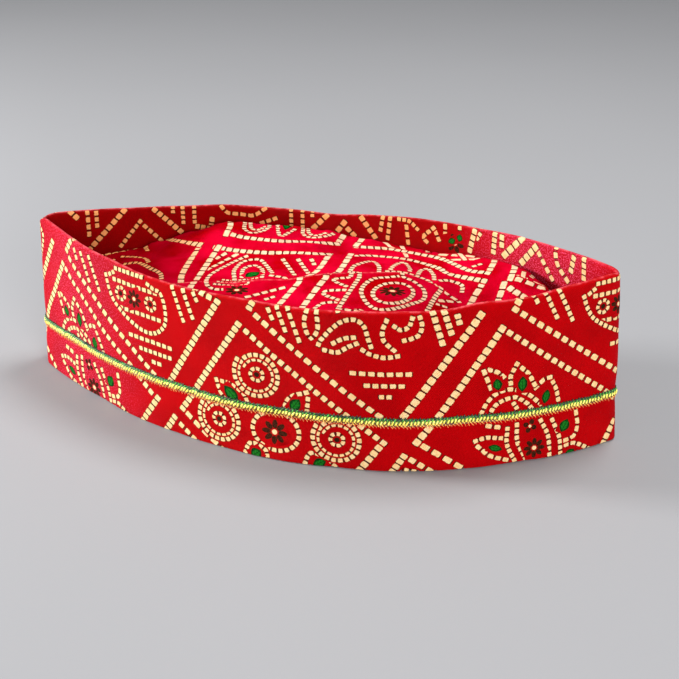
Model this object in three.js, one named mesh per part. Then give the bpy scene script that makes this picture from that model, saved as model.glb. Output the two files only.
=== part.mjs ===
// Topi cap of folded cloth, standing on its open hem. Millimetres.
// +X runs along the cap from its left end to its right end, +Y from its front wall to its back wall,
// and +Z up from the surface that the hem rests on.
import * as THREE from 'three';
import { mergeVertices } from 'three/addons/utils/BufferGeometryUtils.js';

// Outlines of the wall's outer face, seen from above: a pointed oval with rounded end folds.
// bulge is how far a side stands out from the long axis, power is how full it stays towards the
// ends, skew is how much fuller its right half is than its left half, and fold is the radius of
// the folds at the two ends.
const HEM = {
  halfLength: 127.5,
  shift: 0,
  fold: { left: 9, right: 4.5 },
  front: { bulge: 55.9, power: 2.07, skew: 0.12 },
  back: { bulge: 56.8, power: 2.2, skew: 0.06 },
};
const TOP = {
  halfLength: 123.5,
  shift: -1.6,
  fold: { left: 4.5, right: 4.5 },
  front: { bulge: 52.6, power: 2.21, skew: 0.14 },
  back: { bulge: 53.7, power: 2.47, skew: 0.06 },
};

// Height of the top edge: it dips between the ends and stands higher at the right end. Its two
// corners are rounded off: each drops this much over this reach from the end.
const EDGE_HEIGHT = 71.4;
const EDGE_DIP = 6.4;
const EDGE_TILT = 1.5;
const CORNERS = {
  left: { reach: 7, drop: 4 },
  right: { reach: 4.5, drop: 2 },
};

// Cloth: the wall is a stiffened strip folded double, and the crown is one panel.
const WALL_THICKNESS = 2.4;
const CROWN_THICKNESS = 1.5;
const GAP = 0.3;

// The braid is sewn round the outside, with its middle this far above the hem.
const BRAID_MIDDLE = 21.3;
const BRAID_HEIGHT = 3.8;
const BRAID_THICKNESS = 1.5;

// The crown is sewn inside the wall, this far below the top edge, and puffs up between its seams.
const SEAM_DEPTH = 22;
const CROWN_FULLNESS = 5;
// How far the crown's middle lies below the top edge, along the cap.
const CROWN_DEPTHS = [
  { x: -118, depth: 22 },
  { x: -90, depth: 17 },
  { x: -60, depth: 12 },
  { x: -20, depth: 10 },
  { x: 15, depth: 8 },
  { x: 40, depth: 9.5 },
  { x: 62, depth: 16.5 },
  { x: 95, depth: 21 },
  { x: 118, depth: 22 },
];
// A soft tuck runs aslant over the crown. The cloth swells up to it from the front and drops behind.
const TUCK = { from: [-57, -24], to: [36, 16], rise: 2.5, frontWidth: 14, backWidth: 5, fade: 12 };

// Steps of the faceted surfaces
const SIDE_STEPS = 44;
const END_STEPS = 5;
const WALL_LEVELS = [0, 0.3, 0.6];
const EDGE_ARC_STEPS = 4;
const BRAID_ARC_STEPS = 5;
const CROWN_RINGS = [1, 0.97, 0.92, 0.85, 0.75, 0.6, 0.45, 0.3, 0.17, 0.06];

const mix = (a, b, share) => a + (b - a) * share;

// A place on the loop round the cap: t runs from -1 at the left end to 1 at the right end, and
// turn is how far the place has turned round an end fold from the front towards the back. The
// places lie closer together towards the ends.
function loopPlaces() {
  const places = [];
  const along = (i) => Math.sin(Math.PI * (i / SIDE_STEPS - 0.5));
  for (let i = 0; i <= SIDE_STEPS; i++) places.push({ t: along(i), turn: 0 });
  for (let i = 1; i < END_STEPS; i++) places.push({ t: 1, turn: i / END_STEPS });
  for (let i = 0; i <= SIDE_STEPS; i++) places.push({ t: -along(i), turn: 1 });
  for (let i = 1; i < END_STEPS; i++) places.push({ t: -1, turn: 1 - i / END_STEPS });
  return places;
}

function foldRadius(outline, t) {
  return mix(outline.fold.left, outline.fold.right, (t + 1) / 2);
}

// The line that an outline's cloth folds round, one fold radius inside its outer face, with the
// direction in which that face lies.
function sideAt(outline, sign, t) {
  const { bulge, power, skew } = sign < 0 ? outline.front : outline.back;
  const radius = foldRadius(outline, t);
  const length = outline.halfLength - radius;
  const reach = sign * (bulge - radius);
  const full = 1 - Math.abs(t) ** power;
  const fullSlope = -power * Math.abs(t) ** (power - 1) * Math.sign(t);
  const slope = (reach * (fullSlope * (1 + skew * t) + full * skew)) / length;
  return {
    x: outline.shift + length * t,
    y: reach * full * (1 + skew * t),
    facing: Math.atan2(sign, -sign * slope),
  };
}

// A point of an outline, inset from the wall's outer face.
function outlinePoint(outline, place, inset) {
  const front = sideAt(outline, -1, place.t);
  const back = sideAt(outline, 1, place.t);
  const fullTurn = place.t > 0 ? back.facing : back.facing - 2 * Math.PI;
  const facing = mix(front.facing, fullTurn, place.turn);
  const line = place.turn < 0.5 ? front : back;
  const reach = foldRadius(outline, place.t) - inset;
  return [line.x + reach * Math.cos(facing), line.y + reach * Math.sin(facing)];
}

// Height of the top edge, without and with its rounded corners
function edgeLine(t) {
  return EDGE_HEIGHT - EDGE_DIP * (1 - t * t) + EDGE_TILT * t;
}

function edgeHeight(place) {
  const { reach, drop } = place.t < 0 ? CORNERS.left : CORNERS.right;
  const fromEnd = TOP.halfLength - Math.abs(outlinePoint(TOP, place, 0)[0] - TOP.shift);
  const corner = Math.max(0, 1 - fromEnd / reach);
  return edgeLine(place.t) - drop * corner ** 2;
}

// A point of the wall, or beside it: inset from the outer face, at height z.
function wallPoint(place, inset, z) {
  const level = z / edgeLine(place.t);
  const hem = outlinePoint(HEM, place, inset);
  const top = outlinePoint(TOP, place, inset);
  return new THREE.Vector3(mix(hem[0], top[0], level), mix(hem[1], top[1], level), z);
}

function geometryOf(points, faces) {
  const geometry = new THREE.BufferGeometry();
  geometry.setAttribute('position', new THREE.Float32BufferAttribute(points.flatMap((p) => p.toArray()), 3));
  geometry.setIndex(faces.flat());
  return geometry;
}

// A body that runs round the cap: section gives its closed section at a place, going up its outer
// face and down its inner one.
function loopBody(section) {
  const rings = loopPlaces().map(section);
  const size = rings[0].length;
  const at = (i, j) => (i % rings.length) * size + (j % size);
  const faces = [];
  for (let i = 0; i < rings.length; i++) {
    for (let j = 0; j < size; j++) {
      faces.push([at(i, j), at(i + 1, j), at(i + 1, j + 1)]);
      faces.push([at(i, j), at(i + 1, j + 1), at(i, j + 1)]);
    }
  }
  const geometry = mergeVertices(geometryOf(rings.flat(), faces));
  geometry.computeVertexNormals();
  return geometry;
}

// The wall: a flat hem at the bottom, and the cloth folded round at the top edge.
function bandSection(place) {
  const round = WALL_THICKNESS / 2;
  const shoulder = edgeHeight(place) - round;
  const outer = WALL_LEVELS.map((level) => wallPoint(place, 0, shoulder * level));
  const inner = WALL_LEVELS.map((level) => wallPoint(place, WALL_THICKNESS, shoulder * level));
  const edge = [];
  for (let i = 0; i <= EDGE_ARC_STEPS; i++) {
    const angle = (Math.PI * i) / EDGE_ARC_STEPS;
    const inset = round * (1 - Math.cos(angle));
    edge.push(wallPoint(place, inset, shoulder + round * Math.sin(angle)));
  }
  return [...outer, ...edge, ...inner.reverse()];
}

// The braid: flat against the wall and rounded outside.
function braidSection(place) {
  const low = BRAID_MIDDLE - BRAID_HEIGHT / 2;
  const high = BRAID_MIDDLE + BRAID_HEIGHT / 2;
  const points = [];
  for (let i = 0; i <= BRAID_ARC_STEPS; i++) {
    const angle = (Math.PI * i) / BRAID_ARC_STEPS;
    const out = GAP + BRAID_THICKNESS * Math.sin(angle);
    points.push(wallPoint(place, -out, mix(low, high, (1 - Math.cos(angle)) / 2)));
  }
  return points;
}

// How far the crown's middle lies below the edge at x, eased between the rows of the table.
function crownDepth(x) {
  const last = CROWN_DEPTHS.length - 2;
  const row = Math.min(last, Math.max(0, CROWN_DEPTHS.findIndex((place) => place.x > x) - 1));
  const [a, b] = [CROWN_DEPTHS[row], CROWN_DEPTHS[row + 1]];
  return mix(a.depth, b.depth, THREE.MathUtils.smoothstep(x, a.x, b.x));
}

function tuckRise(x, y) {
  const along = [TUCK.to[0] - TUCK.from[0], TUCK.to[1] - TUCK.from[1]];
  const length = Math.hypot(...along);
  const from = [x - TUCK.from[0], y - TUCK.from[1]];
  const place = (from[0] * along[0] + from[1] * along[1]) / length;
  const behind = (from[1] * along[0] - from[0] * along[1]) / length;
  const past = Math.max(0, -place, place - length);
  const width = behind < 0 ? TUCK.frontWidth : TUCK.backWidth;
  return TUCK.rise * Math.exp(-((behind / width) ** 2) - (past / TUCK.fade) ** 2);
}

// Height of the crown's upper face. ring is 1 at the seam and falls towards the crown's middle line.
function crownHeight(x, y, ring) {
  const t = THREE.MathUtils.clamp((x - TOP.shift) / TOP.halfLength, -1, 1);
  const full = 1 - ring ** CROWN_FULLNESS;
  const depth = mix(SEAM_DEPTH, crownDepth(x), full);
  return edgeLine(t) - depth + full * tuckRise(x, y);
}

// The crown's rim, just inside the wall at the height of the seam.
function crownRim() {
  return loopPlaces().map((place) =>
    wallPoint(place, WALL_THICKNESS + GAP, edgeLine(place.t) - SEAM_DEPTH),
  );
}

// A point of the crown's upper face, on the way from its middle line out to the rim.
function crownPoint(rim, ring) {
  const MIDDLE_SHARE = 0.8;
  const x = rim.x * mix(MIDDLE_SHARE, 1, ring);
  const y = rim.y * ring;
  return new THREE.Vector3(x, y, crownHeight(x, y, ring));
}

// The same point on the lower face, one thickness below the upper face along its normal.
function crownUnderPoint(rim, next, ring) {
  const STEP = 0.004;
  const point = crownPoint(rim, ring);
  const inward = crownPoint(rim, ring - STEP).sub(point);
  const along = crownPoint(next, ring).sub(point);
  const down = new THREE.Vector3().crossVectors(inward, along).normalize();
  if (down.z > 0) down.negate();
  return point.addScaledVector(down, CROWN_THICKNESS);
}

// Faces inside a loop of places: rungs from its front to its back, and a fan in each end.
function middleFaces() {
  const right = SIDE_STEPS;
  const left = 2 * SIDE_STEPS + END_STEPS;
  const faces = [];
  for (let i = 0; i < SIDE_STEPS; i++) {
    faces.push([i, i + 1, left - i - 1], [i, left - i - 1, left - i]);
  }
  for (let i = 1; i < END_STEPS; i++) {
    faces.push([right, right + i, right + i + 1]);
    faces.push([left, left + i, (left + i + 1) % (left + END_STEPS)]);
  }
  return faces;
}

function crownBody() {
  const rim = crownRim();
  const count = rim.length;
  const upper = CROWN_RINGS.flatMap((ring) => rim.map((point) => crownPoint(point, ring)));
  const lower = CROWN_RINGS.flatMap((ring) =>
    rim.map((point, i) => crownUnderPoint(point, rim[(i + 1) % count], ring)),
  );
  const under = upper.length;
  const faces = [];
  for (let ring = 0; ring < CROWN_RINGS.length - 1; ring++) {
    for (let i = 0; i < count; i++) {
      const next = (i + 1) % count;
      const [a, b] = [ring * count + i, ring * count + next];
      const [c, d] = [a + count, b + count];
      faces.push([a, b, d], [a, d, c]);
      faces.push([under + a, under + d, under + b], [under + a, under + c, under + d]);
    }
  }
  for (let i = 0; i < count; i++) {
    const next = (i + 1) % count;
    faces.push([i, under + i, under + next], [i, under + next, next]);
  }
  const start = (CROWN_RINGS.length - 1) * count;
  for (const [a, b, c] of middleFaces()) {
    faces.push([start + a, start + b, start + c]);
    faces.push([under + start + a, under + start + c, under + start + b]);
  }
  const geometry = mergeVertices(geometryOf([...upper, ...lower], faces));
  geometry.computeVertexNormals();
  return geometry;
}

const redCloth = new THREE.MeshStandardMaterial({ color: 0xc8102a, roughness: 0.7, metalness: 0 });
const crownCloth = new THREE.MeshStandardMaterial({ color: 0xd8143a, roughness: 0.7, metalness: 0 });
const braidYarn = new THREE.MeshStandardMaterial({ color: 0xd8c850, roughness: 0.45, metalness: 0.3 });

function piece(name, geometry, material) {
  const mesh = new THREE.Mesh(geometry, material);
  mesh.name = name;
  return mesh;
}

const cap = new THREE.Group();
cap.add(piece('band', loopBody(bandSection), redCloth));
cap.add(piece('crown', crownBody(), crownCloth));
cap.add(piece('braid', loopBody(braidSection), braidYarn));

export default cap;
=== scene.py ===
import math
import random

import bpy
import numpy as np
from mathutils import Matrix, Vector
from mathutils.geometry import delaunay_2d_cdt


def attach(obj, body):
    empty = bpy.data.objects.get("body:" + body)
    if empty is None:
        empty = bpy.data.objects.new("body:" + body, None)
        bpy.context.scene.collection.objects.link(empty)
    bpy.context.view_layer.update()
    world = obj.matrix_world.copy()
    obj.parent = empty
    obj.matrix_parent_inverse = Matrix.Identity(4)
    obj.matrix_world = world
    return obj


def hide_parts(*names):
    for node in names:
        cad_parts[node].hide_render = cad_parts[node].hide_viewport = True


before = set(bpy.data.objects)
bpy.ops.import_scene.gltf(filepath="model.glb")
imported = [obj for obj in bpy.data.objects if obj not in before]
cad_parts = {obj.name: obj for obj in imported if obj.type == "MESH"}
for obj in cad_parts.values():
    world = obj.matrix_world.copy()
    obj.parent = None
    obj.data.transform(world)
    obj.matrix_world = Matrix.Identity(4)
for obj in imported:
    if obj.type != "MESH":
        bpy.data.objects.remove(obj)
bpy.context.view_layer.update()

# Topi cap of printed cloth. Lengths are in millimetres up to the meshes, which are in metres.
MM = 0.001

# The wall's outline at its hem and its top edge: half its length, the shift of its middle, the radii
# of its left and right end folds, and the bulge, power and skew of its two sides
HEM = {
    "half": 127.5,
    "shift": 0.0,
    "fold": (9.0, 4.5),
    "front": (55.9, 2.07, 0.12),
    "back": (56.8, 2.2, 0.06),
}
TOP = {
    "half": 123.5,
    "shift": -1.6,
    "fold": (4.5, 4.5),
    "front": (52.6, 2.21, 0.14),
    "back": (53.7, 2.47, 0.06),
}
EDGE_HEIGHT = 71.4
EDGE_DIP = 6.4
EDGE_TILT = 1.5
# The top edge's two corners are rounded off: the reach of each from its end, and its drop
CORNER_LEFT = (5.0, 1.6)
CORNER_RIGHT = (3.2, 0.9)
WALL = 2.4
BRAID_MIDDLE = 21.3
SEAM_DEPTH = 22.0

# The camera stands where the photograph was taken from.
CAMERA = (134.5, -448.4, 254.4)
CAMERA_TARGET = (0.0, 0.0, 36.2)
LENS = 64.95
LENS_SHIFT = (0.0356, -0.0303)


def mix(a, b, share):
    return a + (b - a) * share


def ease(low, high, value):
    share = np.clip((value - low) / (high - low), 0, 1)
    return share * share * (3 - 2 * share)


def bell(value):
    """1 at 0, and falling off softly on both sides."""
    return np.exp(-(value**2))


def unit(vectors):
    """Each row's vector at length 1."""
    return vectors / np.linalg.norm(vectors, axis=1)[:, None]


def left_of(vectors):
    """Flat vectors turned a quarter to the left."""
    return np.stack([-vectors[:, 1], vectors[:, 0]], 1)


def spread(low, high, step):
    """Even places from low to high, about a step apart."""
    return np.linspace(low, high, max(2, round((high - low) / step) + 1))


def grid_points(across, up):
    return np.stack(np.meshgrid(across, up), -1).reshape(-1, 2)


def rectangle(left, low, right, high):
    return [(left, low), (right, low), (right, high), (left, high)]


# The wall as a surface: t runs from -1 at the left end to 1 at the right end, and turn from 0 on
# the front to 1 on the back, over the folds at the two ends.
def side_at(outline, sign, t):
    bulge, power, skew = outline["front" if sign < 0 else "back"]
    radius = mix(*outline["fold"], (t + 1) / 2)
    length = outline["half"] - radius
    reach = sign * (bulge - radius)
    full = 1 - np.abs(t) ** power
    full_slope = -power * np.abs(t) ** (power - 1) * np.sign(t)
    slope = reach * (full_slope * (1 + skew * t) + full * skew) / length
    return outline["shift"] + length * t, reach * full * (1 + skew * t), np.arctan2(sign, -sign * slope)


def outline_point(outline, t, turn, inset):
    front = side_at(outline, -1, t)
    back = side_at(outline, 1, t)
    full_turn = np.where(t > 0, back[2], back[2] - 2 * np.pi)
    facing = mix(front[2], full_turn, turn)
    reach = mix(*outline["fold"], (t + 1) / 2) - inset
    x = np.where(turn < 0.5, front[0], back[0]) + reach * np.cos(facing)
    y = np.where(turn < 0.5, front[1], back[1]) + reach * np.sin(facing)
    return x, y


def edge_line(t):
    return EDGE_HEIGHT - EDGE_DIP * (1 - t * t) + EDGE_TILT * t


class Loop:
    """The way round the wall's outer face at half its height. s is 0 at the front's middle."""

    SIDE_STEPS = 500
    FOLD_STEPS = 60

    def __init__(self):
        along = np.sin(np.pi * (np.linspace(0, 1, self.SIDE_STEPS + 1) - 0.5))
        rise = np.linspace(0, 1, self.FOLD_STEPS + 1)
        end = np.ones(len(rise))
        side = np.ones(len(along) - 2)
        self.t = np.concatenate([-end, along[1:-1], end, -along[1:-1], -end])
        self.turn = np.concatenate([0.5 * (1 - rise), 0 * side, rise, side, 1 - 0.5 * rise])
        hem = outline_point(HEM, self.t, self.turn, 0)
        top = outline_point(TOP, self.t, self.turn, 0)
        x = mix(hem[0], top[0], 0.5)
        y = mix(hem[1], top[1], 0.5)
        self.s = np.concatenate([[0], np.cumsum(np.hypot(np.diff(x), np.diff(y)))])
        front = self.turn == 0
        self.s = self.s - np.interp(0, self.t[front], self.s[front])
        back = self.turn == 1
        self.back_middle = np.interp(0, -self.t[back], self.s[back])
        right = (self.t == 1) & (self.turn > 0) & (self.turn < 1)
        self.right_end = float(np.mean(self.s[right]))
        self.start = float(self.s[0])
        self.end = float(self.s[-1])
        self.length = self.end - self.start

    def place(self, s):
        s = self.start + np.mod(s - self.start, self.length)
        return np.interp(s, self.s, self.t), np.interp(s, self.s, self.turn)


LOOP = Loop()

# Small unevenness of the top edge: where round the loop, how high, and how wide
EDGE_JOGS = [
    (-60, -0.5, 16),
    (-20, 0.5, 14),
    (62, -0.7, 9),
    (82, 0.9, 7),
    (104, -0.6, 6),
    (250, 0.7, 18),
    (292, -0.8, 12),
    (340, 0.6, 15),
    (385, -0.5, 12),
]


def edge_height(s):
    t, turn = LOOP.place(s)
    x = outline_point(TOP, t, turn, 0)[0]
    from_end = TOP["half"] - np.abs(x - TOP["shift"])
    reach = np.where(t < 0, CORNER_LEFT[0], CORNER_RIGHT[0])
    drop = np.where(t < 0, CORNER_LEFT[1], CORNER_RIGHT[1])
    height = edge_line(t) - drop * np.maximum(0, 1 - from_end / reach) ** 2
    for place, jog, width in EDGE_JOGS:
        height = height + jog * bell((s - place) / width)
    return height


def wall_point(s, inset, z):
    t, turn = LOOP.place(s)
    level = z / edge_line(t)
    hem = outline_point(HEM, t, turn, inset)
    top = outline_point(TOP, t, turn, inset)
    return np.stack([mix(hem[0], top[0], level), mix(hem[1], top[1], level), z + 0 * t], -1)


# Kinds of mark in the print. The cloth's material draws each in its own coordinates.
PLAIN = 0
DASH = 1
LEAF = 2
FLOWER = 3
EYE = 4

# Strokes are rows of dashes: their pitch, the dash's share of it and the dash's width.
STROKES = {
    "bar": (2.85, 0.78, 2.6),
    "block": (3.5, 0.8, 2.75),
    "step": (4.15, 0.66, 2.25),
    "cell": (3.1, 0.76, 2.3),
    "fine": (2.6, 0.7, 1.75),
    "dot": (2.3, 0.68, 1.5),
    "long": (5.2, 0.82, 2.45),
    "tiny": (1.8, 0.68, 1.1),
}
# Cloth round a mark that belongs to it, for the dark lines beside the cream
HALO = 0.7
LEAF_SCALE = 0.9
FLOWER_TURN = 20
EYE_RING = 2.6
EYE_DOTS = 7
EYE_RADIUS = 1.1
# A spiral's outer and inner radius, its turns and the angle where it starts
SPIRAL = (9.7, 6.2, 2)
SPIRAL_START = 2.6


def curve_through(points, step=0.4):
    """Points close together on a smooth curve through the given ones."""
    points = np.array(points, float)
    padded = np.concatenate([[2 * points[0] - points[1]], points, [2 * points[-1] - points[-2]]])
    pieces = []
    for a, b, c, d in zip(padded, padded[1:], padded[2:], padded[3:]):
        count = max(2, int(np.hypot(*(c - b)) / step))
        x = np.linspace(0, 1, count, endpoint=False)[:, None]
        bend = 2 * a - 5 * b + 4 * c - d
        twist = 3 * b - a - 3 * c + d
        pieces.append(0.5 * (2 * b + (c - a) * x + bend * x**2 + twist * x**3))
    return np.concatenate(pieces + [points[-1:]])


def round_points(centre, radius, angle, squash=1):
    x = centre[0] + radius * np.cos(angle)
    y = centre[1] + radius * squash * np.sin(angle)
    return np.stack([x, y], 1)


class Print:
    """Marks on flat cloth: each is a quad, its corners' own coordinates and two pairs of sizes.

    move, where it is set, takes points of the chart to points of the cloth."""

    def __init__(self):
        self.marks = []
        self.move = None

    def add(self, quad, local, size, form):
        """One mark. A quad that crosses over itself on a tight bend is opened up first."""
        quad = np.array(quad, float)
        local = np.array(local, float)
        ahead = (quad[1] + quad[2] - quad[0] - quad[3]) / 2
        shortest = 0.04
        for start, end in ((0, 1), (3, 2)):
            if (quad[end] - quad[start]) @ ahead < shortest * (ahead @ ahead):
                middle = (quad[start] + quad[end]) / 2
                quad[start] = middle - shortest / 2 * ahead
                quad[end] = middle + shortest / 2 * ahead
        side_a, side_b = quad[1] - quad[0], quad[3] - quad[0]
        if side_a[0] * side_b[1] - side_a[1] * side_b[0] < 0:
            quad, local = quad[::-1], local[::-1]
        self.marks.append((quad, local, size, form))

    def stroke(self, style, points, count=0, closed=False):
        """A row of dashes whose first and last dash lie on the first and last point."""
        pitch, share, width = STROKES[style]
        line = curve_through(points)
        if self.move:
            line = self.move(line)
        length = np.concatenate([[0], np.cumsum(np.hypot(*np.diff(line, axis=0).T))])
        whole = length[-1]

        def at(places):
            places = np.clip(places, 0, whole)
            return np.stack([np.interp(places, length, line[:, k]) for k in (0, 1)], 1)

        count = count or max(2, round(whole / pitch) + (0 if closed else 1))
        pitch = whole / (count if closed else count - 1)
        margin = 0 if closed else pitch / 2
        steps = 2 * count if self.move or len(points) > 2 else count
        marks = np.linspace(-margin, whole + margin, steps + 1)
        inside = np.clip(marks, 0, whole)
        ahead = at(inside + pitch / 3)
        behind = at(inside - pitch / 3)
        if closed:
            ahead[-1] = ahead[0]
            behind[0] = behind[-1]
        tangent = unit(ahead - behind)
        middle = at(inside) + (marks - inside)[:, None] * tangent
        half = width / 2 + HALO
        across = left_of(tangent) * half
        if closed:
            middle[-1], across[-1] = middle[0], across[0]
        along = (marks + margin) / pitch
        for i in range(steps):
            quad = (middle[i] - across[i], middle[i + 1] - across[i + 1],
                    middle[i + 1] + across[i + 1], middle[i] + across[i])
            local = rectangle(along[i], -half, along[i + 1], half)
            self.add(quad, local, (pitch, share * pitch / 2), (width / 2, DASH))

    def blob(self, kind, centre, half_length, half_width, angle=0, petals=0):
        """A leaf, a flower or the dark eye of a ring, inside its own rectangle."""
        x, y = half_length + HALO, half_width + HALO
        local = np.array(rectangle(-x, -y, x, y), float)
        cos, sin = math.cos(math.radians(angle)), math.sin(math.radians(angle))
        quad = np.array(centre) + local @ np.array([[cos, sin], [-sin, cos]])
        if self.move:
            quad = self.move(quad)
        self.add(quad, local, (petals, half_length), (half_width, kind))

    def leaf(self, centre, half_length, half_width, angle):
        self.blob(LEAF, centre, LEAF_SCALE * half_length, LEAF_SCALE * half_width, angle)

    def flower(self, centre, radius, petals):
        self.blob(FLOWER, centre, radius, radius, FLOWER_TURN, petals)

    def ring(self, centre, radius, squash=1, style="fine", count=0):
        points = round_points(centre, radius, np.linspace(0, 2 * np.pi, 25), squash)
        self.stroke(style, points, count, closed=True)

    def eye(self, centre):
        self.ring(centre, EYE_RING, 1, "dot", EYE_DOTS)
        self.blob(EYE, centre, EYE_RADIUS, EYE_RADIUS)

    def spiral(self, centre):
        outer, inner, turns = SPIRAL
        angle = np.linspace(0, 2 * np.pi * turns, 40)
        radius = mix(outer, inner, angle / angle[-1])
        self.stroke("fine", round_points(centre, radius, angle + SPIRAL_START))

    def draw(self, rows, move=None):
        """The marks of a chart. Where two of them meet, the earlier one shows."""
        self.move = move
        single = {"leaf": self.leaf, "flower": self.flower, "ring": self.ring, "eye": self.eye,
                  "spiral": self.spiral}
        for name, points, numbers in rows:
            if name in STROKES:
                self.stroke(name, points, *map(int, numbers))
            else:
                single[name](points[0], *numbers)

    def take(self, other, low, high, move=None):
        """Adds the marks of another print whose middles lie between two places, moved."""
        for quad, *sizes in other.marks:
            if low <= quad[:, 0].mean() < high:
                self.add(move(quad) if move else quad, *sizes)


def shift(along, up):
    return lambda points: np.asarray(points) + (along, up)


def affine(pairs):
    """The flat map that takes three points to three others."""
    source = np.array([(x, y, 1) for (x, y), _ in pairs], float)
    target = np.array([to for _, to in pairs], float)
    matrix = np.linalg.solve(source, target)
    return lambda points: np.concatenate([np.asarray(points), np.ones((len(points), 1))], 1) @ matrix


def chart(text):
    """Marks of the print, charted one by one. Each has its name, its points as x,y in millimetres, and
    numbers: how many dashes a stroke has, where they were counted; a leaf's half length, half width
    and angle; a flower's radius and petals; or a ring's radius and how much taller it is than wide."""
    rows = []
    for word in text.split():
        if word.isalpha():
            rows.append((word, [], []))
        elif "," in word:
            rows[-1][1].append([float(value) for value in word.split(",")])
        else:
            rows[-1][2].append(float(word))
    return rows


# The front wall's print is charted flat: along the wall from its middle, and up from the hem. First
# come the lines between its boxes.
FRONT_SIDES = chart("""
bar 19 -13.8,55.1 -41.3,12.2
step 20 -10.5,52.6 43.3,12.5
bar 41.4,10.2 34,0
step 5 -38.2,10.1 -22,-1
bar -111,62 -106,69
step 16 -108.5,58.8 -56.3,23.5
bar 17 -22.6,62.8 -47.3,22.8
step 3 -33.3,66 -26.3,64
bar -115.7,54.4 -133.5,24.1 -137.6,13.5
step 19 -112.9,52.6 -70.7,23.8 -57.9,14.8
bar -54.3,13 -63,0
step 4 -138,10 -128.2,1.9
bar -124.4,61.6 -137.6,38.5 -148,20
fine -136,66 -133,63 -133,59.7 -136,52.5
cell -142.5,70 -140.5,45
cell -138.6,69 -137.4,57
bar 3 -9.1,62.3 -7,66.5
step 15 -6,59.4 41.7,23.8
block 15 80.6,64.8 51.2,24.1
block 17 89,58.5 65.3,24.8 55.9,12.9
step 14 92.1,56.3 133.1,25.4
step 3 136.4,22.6 143,17
step 4 59,10.7 71.8,1.6
block 140.25,8.5 134.9,0
step 14 94.3,65.7 140.6,31.6
block 2 95.6,68.5 97.5,71
bar -45.7,7 -50,0
step 3 -42.3,4.4 -36,0.4
bar 50.9,6.9 46.4,0
step 3 54,5.1 60.6,0.4
step 2 51.8,0.5 54.6,0
""")

# A box of spirals round a flower, with leaves between them
SPIRAL_BOX = chart("""
spiral -6.4,35.5
eye -6.4,35.5
spiral -23.3,12.8
eye -23.3,12.8
spiral 25.4,12.3
eye 25.4,12.3
leaf -17.6,25 4.6 2.8 -45
leaf 9,25 3.6 2.4 55
leaf -7.3,1.3 2.8 2.6 40
leaf 18.4,1.3 3.2 2.2 30
flower 0.6,12.2 5.2 8
fine 4 -20.7,22.2 -22.6,24.7 -24.1,29.7
fine 6 -21.5,29.7 -17.9,29.4 -12.6,26.9 -11,23.8
fine 5 4.9,24.1 5.9,26.6 8.7,29.1 13.7,31
fine 3 14.3,28.4 13.7,22.9
fine 7 -11.9,1 -10.4,4.8 -8.2,5.7 -3.5,3.8 -2.6,1.3
fine 7 12.8,0.7 14.3,4.8 16.8,5.5 21.5,3.2 24.3,0.7
ring 1,12.5 9.6 0.85
""")

# A box with a plant: leaves in dashed outlines over an arch, flowers and bent columns
PLANT_BOX = chart("""
leaf 87.4,35.25 2.8 2 100
leaf 97.4,34.4 3.6 2.1 88
leaf 107.6,27.25 3.4 2 80
leaf 86.5,7.75 3.4 1.6 -20
leaf 115.9,12.9 3.2 2.4 60
leaf 118.4,0 2.8 1.9 30
flower 102.75,5.4 4.4 8
flower 100.9,15.4 3 4
fine 3 84.6,34.25 82.1,41
fine 3 84.3,41.75 87.4,40.5 89.6,38.5
fine 4 92.6,35.4 92.6,38.5 95.1,43.1
fine 4 97.4,41 99.9,38.5 102.4,33.5
fine 3 103,32.25 106.5,34.9 109,35.25
fine 4 110.6,32.9 112,29.9 113.2,24.75
fine 11 81.2,23.6 83.5,28.2 87.4,31.6 93.1,32.75 99.9,29.6 105.25,24.4
fine 5 91.5,28.8 94.6,29.1 99.3,25.9 101.2,23.6
fine 3 85.25,24.4 86.8,26.6 89,27.9
fine 2 94,26.3 95.25,24.25
fine 5 78.7,11.75 83.2,12.75 88.8,11.9
fine 5 79.75,9.1 84.5,4.6 90.9,1.9
fine 2 84,17.6 87.4,16.9
fine 7 91.5,15.7 91.3,8.8 94.5,1.1
fine 7 95.4,16.75 95.6,9.4 99.3,1
fine 7 105.6,16.9 108.7,9.75 109.3,1.3
fine 7 110.6,16.3 113.6,8.2 114.2,0.8
fine 5 121.4,17.25 121.8,11.9 120.25,7.6 116.5,6.3
fine 5 116.8,4.1 119.1,4.4 122.4,3.2 127.8,-0.5
""")
# The same plant stands in the box at the left end: three of its places there
PLANT_TO_LEFT = [
    ((87.4, 35.25), (-114.75, 32.9)),
    ((115.9, 12.9), (-83.2, 11)),
    ((86.5, 7.75), (-112.6, 5.4)),
]

# A box with a drum: a dashed outline round two dotted eyes and a flower, and rows and columns
DRUM_BOX = chart("""
eye -73.2,54.1
eye -56.3,53.8
flower -65.4,53.8 3.9 8
fine 7 -76,64.1 -60.7,64.4
fine -57.25,62.1 -53.8,60.7 -50.7,60.1 -48.6,54.4 -48.8,46.9 -54.4,41.75 -60.4,41 -67.25,43.2 -76.6,49.1
-80.4,54.4 -82.25,59.75
fine 2 -79.75,60.7 -77.6,62
fine 10 -77,59.2 -50.5,59.2
fine 8 -73,48 -52,48
fine 8 -68.2,37.4 -46.6,37.4
fine 7 -62.6,33 -46.9,33
fine 2 -55.7,28.8 -52.6,28.8
fine 6 -44.1,64.3 -39,51.6
fine 5 -38.5,64.1 -34.3,54
fine 2 -33.5,63.8 -32.25,61.6
fine 2 -104.1,64.1 -102.9,61.3
fine 5 -99.1,64.1 -94.4,53.7
fine 6 -93.2,64.1 -87.6,51.6
""")
# The same drum stands in the box at the right end, this far along and up
DRUM_TO_RIGHT = (206.4, 6.3)

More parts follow.
